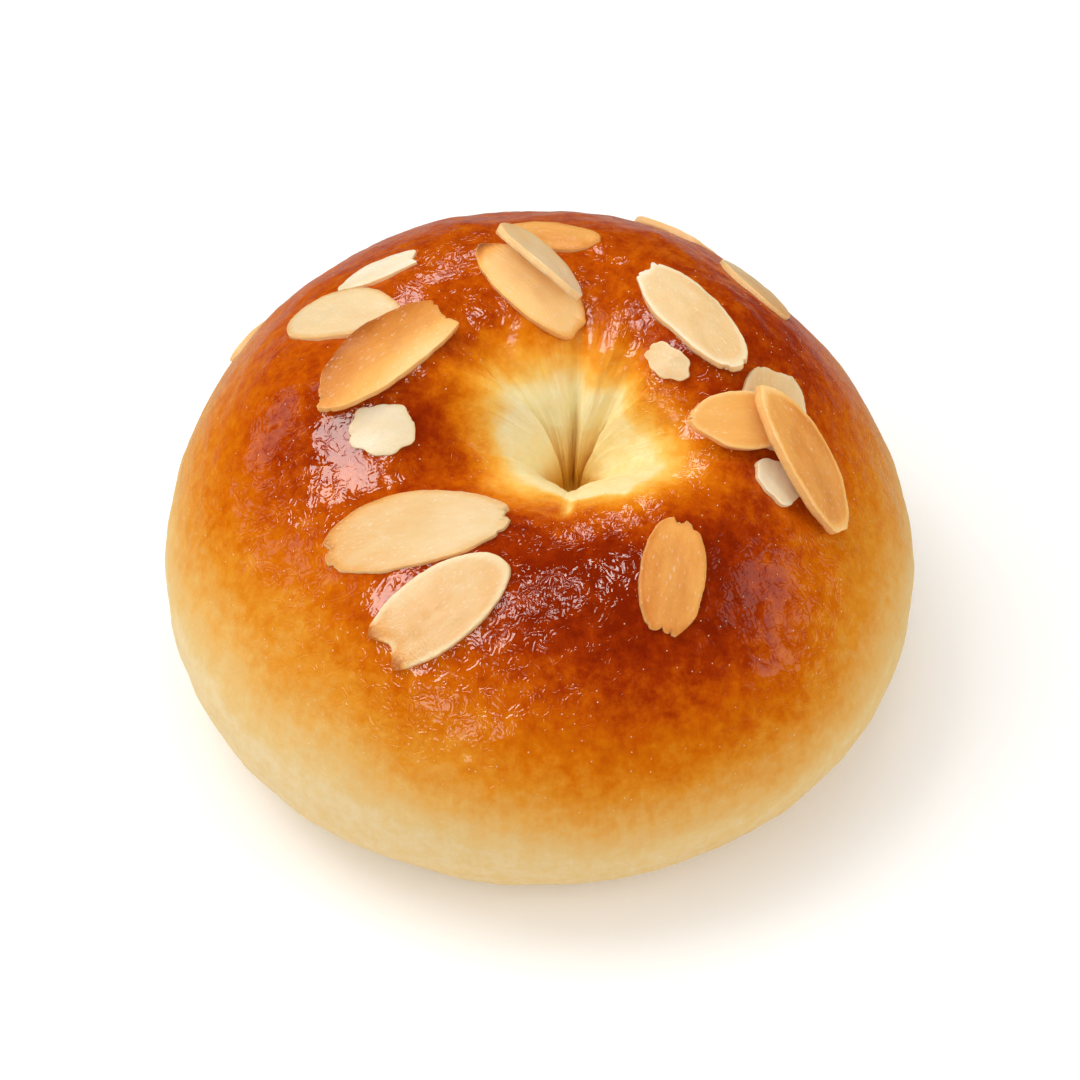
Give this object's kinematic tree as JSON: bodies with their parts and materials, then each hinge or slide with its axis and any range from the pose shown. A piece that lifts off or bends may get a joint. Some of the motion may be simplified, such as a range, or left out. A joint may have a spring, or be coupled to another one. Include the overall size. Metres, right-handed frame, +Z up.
{
  "type": "taro bun",
  "caption": "Glazed round bun with a puckered dimple gathered in the middle of its top and sliced almonds baked onto its browned crust.",
  "frame": {"origin": "middle of the flat underside, where the bun stands", "axes": "+Z up, -Y towards the shown side where the crest round the dimple dips, +X to the right of it"},
  "size_m": [0.084, 0.084, 0.0516],
  "materials": {
    "crust": "egg-glazed bread crust, stands in for bread",
    "pale_almond": "cut almond, pale",
    "toasted_almond": "cut almond, toasted"
  },
  "bodies": {
    "root": {"bun": "crust", "almond_slice_01": "toasted_almond", "almond_slice_02": "pale_almond", "almond_slice_03": "pale_almond", "almond_slice_04": "toasted_almond", "almond_slice_05": "toasted_almond", "almond_slice_06": "toasted_almond", "almond_slice_07": "pale_almond", "almond_slice_08": "pale_almond", "almond_slice_09": "pale_almond", "almond_slice_10": "toasted_almond", "almond_slice_11": "pale_almond", "almond_slice_12": "toasted_almond", "almond_slice_13": "pale_almond", "almond_slice_14": "pale_almond", "almond_slice_15": "pale_almond", "almond_slice_16": "pale_almond", "almond_slice_17": "toasted_almond", "almond_chip_01": "pale_almond", "almond_chip_02": "pale_almond", "almond_chip_03": "pale_almond", "almond_chip_04": "pale_almond"}
  },
  "joints": []
}
